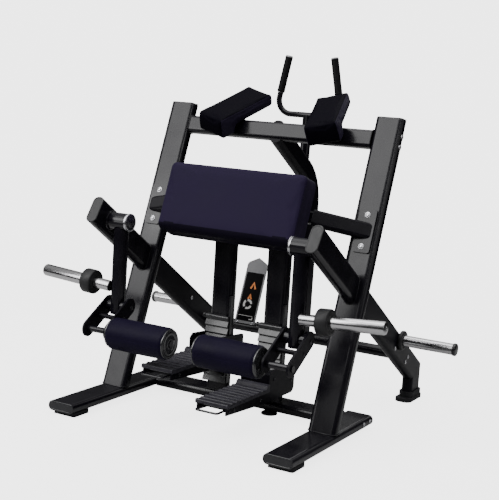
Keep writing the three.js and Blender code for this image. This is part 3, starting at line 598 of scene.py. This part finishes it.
# ---------- chrome horns ----------
HORN_TILT = math.radians(3.7)
HORN_START = (-98, 507)     # y and z of a weight horn's inner end
for side_name, side in SIDES:
    arm = f"{side_name}_arm"
    axis = Vector((side * math.cos(HORN_TILT), 0, math.sin(HORN_TILT)))
    origin = at(side * ARM_X, *HORN_START)
    horn = turned(f"{side_name}_weight_sleeve",
                  [(26, 0), (26, 22), (121, 22), (124, 24.9), (357, 24.9), (362, 22.5), (363.6, 19),
                   (363.6, 7), (362.4, 5.5), (362.4, 0)], origin, axis, CHROME, 72)
    finish_piece(horn, arm, (f"{side_name}_weight_horn",))
    collar = turned(f"{side_name}_weight_stop",
                    [(100, 22.5), (100, 45), (101.5, 48), (104.5, 49.8), (146, 49.8), (149, 48), (150.6, 45),
                     (150.6, 38), (148.6, 36), (148.6, 30), (150.6, 28), (150.6, 25.6), (126, 25.6),
                     (123, 22.5), (100, 22.5)], origin, axis, COLLAR, 72)
    finish_piece(collar, arm, (f"{side_name}_horn_collar",))

    low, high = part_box(f"{side_name}_storage_horn")
    face = Vector((low.x if side > 0 else high.x, (low.y + high.y) / 2, (low.z + high.z) / 2))
    length = (high.x - low.x) * 1000
    out = X * side
    sleeve = turned(f"{side_name}_storage_sleeve",
                    [(10, 0), (10, 24), (length - 10, 24), (length - 10, 0)], face, out, CHROME, 64)
    finish_piece(sleeve, "frame", (f"{side_name}_storage_horn",))
    flange = turned(f"{side_name}_storage_flange",
                    [(0, 24.2), (0, 38), (1.5, 41), (4, 42), (12, 42), (15, 40.5), (16.5, 37), (16.5, 30),
                     (15.2, 28), (15.2, 24.2), (0, 24.2)], face, out, COLLAR, 64)
    finish_piece(flange, "frame")
    end_cap = turned(f"{side_name}_storage_end",
                     [(length - 14, 24.2), (length - 14, 26.5), (length - 13, 27), (length - 5, 27),
                      (length - 2, 25.5), (length - 0.4, 22), (length - 0.2, 0)], face, out, BLACK_CAP, 64)
    finish_piece(end_cap, "frame")

    # pivot: bright end cap with a retaining ring
    low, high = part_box(f"{side_name}_hub_cap")
    inner = Vector((high.x if side > 0 else low.x, (low.y + high.y) / 2, (low.z + high.z) / 2))
    cap = turned(f"{side_name}_pivot_cap",
                 [(0, 0), (0, 36.5), (5.5, 36.8), (8, 35.6), (10, 33), (11, 29), (10.2, 26.5), (10.6, 18),
                  (11.4, 9), (11.6, 0)], inner, X * -side, STEEL, 64)
    finish_piece(cap, arm, (f"{side_name}_hub_cap",))
    clip = turned(f"{side_name}_pivot_ring",
                  [(7.6, 34.2), (7.9, 36.3), (9.2, 36.6), (10.4, 35.2), (10.6, 33.6), (9.6, 32.2),
                   (7.6, 34.2)], inner, X * -side, CHROME, 72)
    finish_piece(clip, arm)

# ---------- handle grips ----------
GRIP_TOP = (110.0, 700.0, 1486.0)
HANDLE_CORNER = (161.0, 700.0, 1232.0)
for side_name, side in SIDES:
    top = at(side * GRIP_TOP[0], *GRIP_TOP[1:])
    corner = at(side * HANDLE_CORNER[0], *HANDLE_CORNER[1:])
    run = (corner - top).normalized()
    profile = [(6, 12.9), (6, 16.6), (7, 17.2), (11, 17.2), (12, 16.4)]
    along = 13.0
    while along < 150:
        profile += [(along, 16.2), (along + 1.0, 16.9), (along + 2.6, 16.9), (along + 3.6, 16.2)]
        along += 4.6
    profile += [(153, 16.4), (154, 17.6), (158, 17.6), (160, 16.5), (160, 12.9), (6, 12.9)]
    grip = turned(f"{side_name}_ribbed_grip", profile, top, run, GRIP_RUBBER, 48)
    finish_piece(grip, "frame", (f"{side_name}_grip",))
    cap = turned(f"{side_name}_handle_cap",
                 [(6, 0), (6, 13.5), (5.6, 16), (2, 16), (0.2, 14.2), (-0.4, 10), (-0.6, 0)],
                 top, run, LIGHT_GREY, 48)
    finish_piece(cap, "frame")
    ring = turned(f"{side_name}_grip_ring", [(161, 12.9), (161, 15.6), (164.5, 15.6), (164.5, 12.9)],
                  top, run, STEEL, 40)
    finish_piece(ring, "frame")

# ---------- end plugs ----------
def end_plug(name, section, origin, normal, material, thick, dome):
    finish_piece(plug(name, *section, origin, normal, X, material, thick, dome), "frame")


for side_name, side in SIDES:
    x = side * FRAME_X
    low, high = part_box(f"{side_name}_foot_rail")
    rail = Vector(((low.x + high.x) / 2, 0, (low.z + high.z) / 2))
    front = Vector((rail.x, low.y, rail.z))
    rear = Vector((rail.x, high.y, rail.z))
    end_plug(f"{side_name}_rail_plug_front", RAIL_SECTION, front, -Y, BLACK_CAP, 3.0, 1.6)
    end_plug(f"{side_name}_rail_plug_rear", RAIL_SECTION, rear, Y, BLACK_CAP, 3.0, 1.6)
    tip = at(x, *BRACE_START) - BRACE_RUN * 0.084
    end_plug(f"{side_name}_brace_plug", BRACE_SECTION, tip, -BRACE_RUN, GREY_CAP, 4.0, 2.2)
    end_plug(f"{side_name}_upright_plug", UPRIGHT_TOP_SECTION, on_lean(x, 25, 1334), Z, BLACK_CAP, 2.0, 1.2)


# ---------- weld beads ----------
def weld(name, section, origin, rotation, radius, run=None, normal=None):
    bead(name, section_loop(*section, origin, rotation, 8, run, normal), radius, "frame")


lean_turn = Matrix((X, LEAN_BACK, LEAN_UP)).transposed()
brace_turn = Matrix((X, BRACE_UP, BRACE_RUN)).transposed()
beam_turn = Matrix((LEAN_BACK, LEAN_UP, X)).transposed()
for side_name, side in SIDES:
    x = side * FRAME_X
    start = at(x, *BRACE_START)
    upright = Vector((x / 1000, FOOT_Y, 0))
    slope = BRACE_RUN.dot(LEAN_BACK)
    near = start + BRACE_RUN * ((upright - start).dot(LEAN_BACK) / slope)
    far = start + BRACE_RUN * ((upright + LEAN_BACK * 0.0505 - start).dot(LEAN_BACK) / slope)
    weld(f"{side_name}_weld_pivot_arm", BRACE_SECTION, near - LEAN_BACK * 0.0015, brace_turn, 2.6, BRACE_RUN,
         LEAN_BACK)
    weld(f"{side_name}_weld_rear_brace", BRACE_SECTION, far + LEAN_BACK * 0.0012, brace_turn, 2.6, BRACE_RUN,
         LEAN_BACK)
    foot = Vector((x / 1000, 0, 0.0585))
    foot.y = FOOT_Y + (25 / math.cos(LEAN) + 57 * math.tan(LEAN)) / 1000
    weld(f"{side_name}_weld_upright_foot", UPRIGHT_SECTION, foot, lean_turn, 2.4, LEAN_UP, Z)
    weld(f"{side_name}_weld_beam", BEAM_SECTION, on_lean(side * 431, 25, 1241), beam_turn, 2.4)
    weld(f"{side_name}_weld_post", POST_SECTION, at(side * POST_X, 287, 58.5), Matrix.Identity(3), 2.4)

# ---------- bolts ----------
CARRIAGE_BOLTS = ((-130, 124), (75, 116), (180, 180), (330, 150))
CARRIAGE_BOTTOM = 94        # height at which the carriage bolts are given
for side_name, side in SIDES:
    outer = side * 552
    points = [(on_lean(outer, 25, 1220), X * side), (on_lean(outer, 25, 1262), X * side)]
    bolts(f"{side_name}_beam_bolts", points, "frame")
    points = [(on_lean(side * 494, PLATE_FACE, 862 + offset), -LEAN_BACK) for offset in (64, -64)]
    bolts(f"{side_name}_pad_arm_bolts", points, "frame", head=9)
    points = [(at(side * 554, 290, 39), X * side), (at(side * 554, 347, 39), X * side)]
    bolts(f"{side_name}_rail_bolts", points, "frame", head=7)
    points = [(at(side * 517, 650, 281), X * side), (at(side * 517, 781, 197), X * side),
              (at(side * 517, 806, 215), X * side)]
    bolts(f"{side_name}_brace_bolts", points, "frame", head=7)
    bolts(f"{side_name}_brace_inner_bolts", [(at(side * 467, 569, 365), X * -side)], "frame", head=7)
    for end in (-1, 1):
        face = side * ARM_X + end * 56
        points = [(at(face, -62, 424), X * end), (at(face, -112, 385), X * end)]
        bolts(f"{side_name}_bracket_bolts_{'inner' if end * side < 0 else 'outer'}", points,
              f"{side_name}_arm", head=8, material=DARK_STEEL)
    low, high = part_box(f"{side_name}_carriage")
    lift = low.z * 1000 - CARRIAGE_BOTTOM
    for end in (-1, 1):
        face = side * POST_X + end * 67
        points = [(at(face, y, z + lift), X * end) for y, z in CARRIAGE_BOLTS]
        bolts(f"{side_name}_carriage_bolts_{'a' if end < 0 else 'b'}", points, f"{side_name}_foot_plate",
              head=6, height=3.5, material=DARK_STEEL)
    knob = turned(f"{side_name}_rack_knob",
                  [(0, 0), (0, 7), (3, 7), (4, 9.5), (12, 9.5), (14, 7.5), (14.5, 0)],
                  at(side * POST_X - 54, 246, 378), -X, BLACK_CAP, 32)
    finish_piece(knob, "frame")

# ---------- placard ----------
tilt = Matrix((X, LEAN_UP, -LEAN_BACK)).transposed()
PLACARD_FOOT = (-284, 754, 243)
face = at(*PLACARD_FOOT) - LEAN_BACK * 0.004


def on_placard(bm, outline, thick, lift):
    prism(bm, outline, face - LEAN_BACK * (lift / 1000), tilt, [(0, 0), (thick, 0)])


bm = bmesh.new()
on_placard(bm, [(-46, 12), (46, 12), (46, 244), (-46, 244)], 0.3, 0.05)
finish_piece(from_bmesh("placard_sticker", bm, STICKER), "frame")


def ring_outline(cx, cy, outer, inner, start, sweep, steps=14):
    """A flat arc band about a centre."""
    angles = [math.radians(start + sweep * k / steps) for k in range(steps + 1)]
    far = [(cx + outer * math.cos(a), cy + outer * math.sin(a)) for a in angles]
    near = [(cx + inner * math.cos(a), cy + inner * math.sin(a)) for a in reversed(angles)]
    return far + near


def mark(bm, outline):
    """A thin printed patch on the sticker; outlines may be concave, so only two faces are made."""
    rings = [[bm.verts.new(face + tilt @ Vector((x / 1000, y / 1000, level / 1000))) for x, y in outline]
             for level in (0.36, 0.55)]
    for i in range(len(outline)):
        j = (i + 1) % len(outline)
        bm.faces.new([rings[0][i], rings[0][j], rings[1][j], rings[1][i]])
    bm.faces.new(rings[1])
    bm.faces.new(list(reversed(rings[0])))


def chevron(cx, cy, half, rise, thick):
    return [(cx - half, cy), (cx, cy + rise), (cx + half, cy), (cx + half - thick, cy - thick * 0.3),
            (cx, cy + rise - thick * 1.5), (cx - half + thick, cy - thick * 0.3)]


bm = bmesh.new()
for cx, cy, half, rise in ((4, 168, 17, 34), (-2, 118, 12, 26)):
    mark(bm, chevron(cx, cy, half, rise, 9))
finish_piece(from_bmesh("placard_chevrons", bm, MARK_ORANGE), "frame")
bm = bmesh.new()
for start in (10, 130, 250):
    mark(bm, ring_outline(-6, 92, 24, 14, start, 92))
mark(bm, [(-40, 36), (34, 36), (34, 38), (-40, 38)])
mark(bm, [(18, 20), (36, 20), (36, 32), (32, 32), (32, 24), (18, 24)])
finish_piece(from_bmesh("placard_rings", bm, MARK_PALE), "frame")
bolts("placard_bolts", [(face + tilt @ Vector((x, 0.0055, 0)), -LEAN_BACK) for x in (-0.040, 0.040)], "frame",
      head=4, height=2.5)

# ---------- floor, light, camera ----------
SKY_STOPS = [(0.08, 0.015), (0.3, 0.07), (0.6, 0.35), (1.0, 0.7)]   # brightness by height
FLOOR_GLOW = 3.2
BACKDROP = 3.85
FLOOR_RADIUS = 3.6
FLOOR_FADE = 0.45           # the share of the radius at which the floor starts to fade into the backdrop
bm = bmesh.new()
rim = [bm.verts.new((FLOOR_RADIUS * math.cos(a), FLOOR_RADIUS * math.sin(a), 0))
       for a in (2 * math.pi * k / 96 for k in range(96))]
bm.faces.new(rim)
floor_material, nodes, links, shader = new_material("pale_floor")
grain = noise(nodes, links, 3, 4)
vary(nodes, links, shader, "Base Color", grain, [(0.3, 0.43), (0.7, 0.46)])
shader.inputs["Roughness"].default_value = 0.75
shader.inputs["Specular IOR Level"].default_value = 0.0
shader.inputs["Emission Color"].default_value = (1, 1, 1, 1)
seen = nodes.new("ShaderNodeLightPath")
glow = nodes.new("ShaderNodeMath")
glow.operation = "MULTIPLY"
glow.inputs[1].default_value = FLOOR_GLOW
links.new(seen.outputs["Is Camera Ray"], glow.inputs[0])
links.new(glow.outputs[0], shader.inputs["Emission Strength"])
coords = nodes.new("ShaderNodeTexCoord")
away = nodes.new("ShaderNodeVectorMath")
away.operation = "LENGTH"
links.new(coords.outputs["Object"], away.inputs[0])
fade = nodes.new("ShaderNodeMapRange")
fade.interpolation_type = "SMOOTHERSTEP"
fade.inputs["From Min"].default_value = FLOOR_RADIUS * FLOOR_FADE
fade.inputs["From Max"].default_value = FLOOR_RADIUS
fade.inputs["To Min"].default_value = 1.0
fade.inputs["To Max"].default_value = 0.0
links.new(away.outputs["Value"], fade.inputs["Value"])
links.new(fade.outputs[0], shader.inputs["Alpha"])
floor = from_bmesh("floor", bm, floor_material, 0)

world = bpy.data.worlds.new("studio")
SCENE.world = world
world.use_nodes = True
sky = world.node_tree
shown = sky.nodes["Background"]
shown.inputs[0].default_value = (1, 1, 1, 1)
shown.inputs[1].default_value = BACKDROP
unseen = sky.nodes.new("ShaderNodeBackground")
unseen.inputs[1].default_value = 1.0
direction = sky.nodes.new("ShaderNodeTexCoord")
split = sky.nodes.new("ShaderNodeSeparateXYZ")
sky.links.new(direction.outputs["Generated"], split.inputs[0])
sky.links.new(ramp(sky.nodes, sky.links, split.outputs["Z"], SKY_STOPS), unseen.inputs[0])
ray = sky.nodes.new("ShaderNodeLightPath")
mix = sky.nodes.new("ShaderNodeMixShader")
sky.links.new(ray.outputs["Is Camera Ray"], mix.inputs[0])
sky.links.new(unseen.outputs[0], mix.inputs[1])
sky.links.new(shown.outputs[0], mix.inputs[2])
sky.links.new(mix.outputs[0], sky.nodes["World Output"].inputs[0])


def softbox(name, place, target, width, height, power):
    light = bpy.data.lights.new(name, "AREA")
    light.shape = "RECTANGLE"
    light.size = width
    light.size_y = height
    light.energy = power
    obj = bpy.data.objects.new(name, light)
    SCENE.collection.objects.link(obj)
    obj.location = place
    obj.rotation_euler = (Vector(target) - Vector(place)).to_track_quat("-Z", "Y").to_euler()
    obj.visible_camera = False


softbox("front", (-1.9, -3.2, 3.5), (0, 0, 0.9), 2.8, 2.4, 112)
softbox("front_low", (-2.7, -3.1, 1.75), (-0.4, -0.3, 0.4), 1.7, 1.7, 40)
softbox("front_right", (-0.45, -3.2, 1.8), (0.5, -0.3, 0.45), 0.9, 1.2, 6)
softbox("side", (3.6, -2.6, 3.0), (0, 0, 0.7), 1.4, 1.4, 30)
softbox("top", (0.2, 0.6, 4.6), (0, 0, 0), 4.2, 4.2, 105)
softbox("right", (4.0, 0.2, 1.5), (0, 0, 0.8), 2.2, 2.0, 11)
softbox("left", (-4.0, 0.4, 1.5), (0, 0, 0.8), 2.2, 2.0, 11)
softbox("back", (-0.3, 4.3, 2.7), (0, 0, 0.8), 2.8, 1.8, 14)
overhead = bpy.data.lights.new("overhead", "SUN")
overhead.energy = 1.3
overhead.angle = math.radians(50)
overhead_obj = bpy.data.objects.new("overhead", overhead)
SCENE.collection.objects.link(overhead_obj)
overhead_obj.rotation_euler = (math.radians(18), math.radians(-12), 0)

CAMERA_PLACE = (2233, -3684, 1352)
CAMERA_LENS = 80.26
CAMERA_ANGLES = (29.543, 8.476, 3.565)      # azimuth, elevation and roll in degrees
camera_data = bpy.data.cameras.new("camera")
camera_data.lens = CAMERA_LENS
camera_data.sensor_width = 36
camera_data.sensor_fit = "HORIZONTAL"
camera_data.clip_end = 60
camera = bpy.data.objects.new("camera", camera_data)
SCENE.collection.objects.link(camera)
azimuth, elevation, roll = (math.radians(angle) for angle in CAMERA_ANGLES)
forward = Vector((-math.sin(azimuth) * math.cos(elevation), math.cos(azimuth) * math.cos(elevation),
                  -math.sin(elevation)))
right = Vector((math.cos(azimuth), math.sin(azimuth), 0))
up = right.cross(forward)
cam_x = right * math.cos(roll) + up * math.sin(roll)
cam_y = -right * math.sin(roll) + up * math.cos(roll)
turn = Matrix((cam_x, cam_y, -forward)).transposed().to_4x4()
camera.matrix_world = Matrix.Translation(at(*CAMERA_PLACE)) @ turn
SCENE.camera = camera
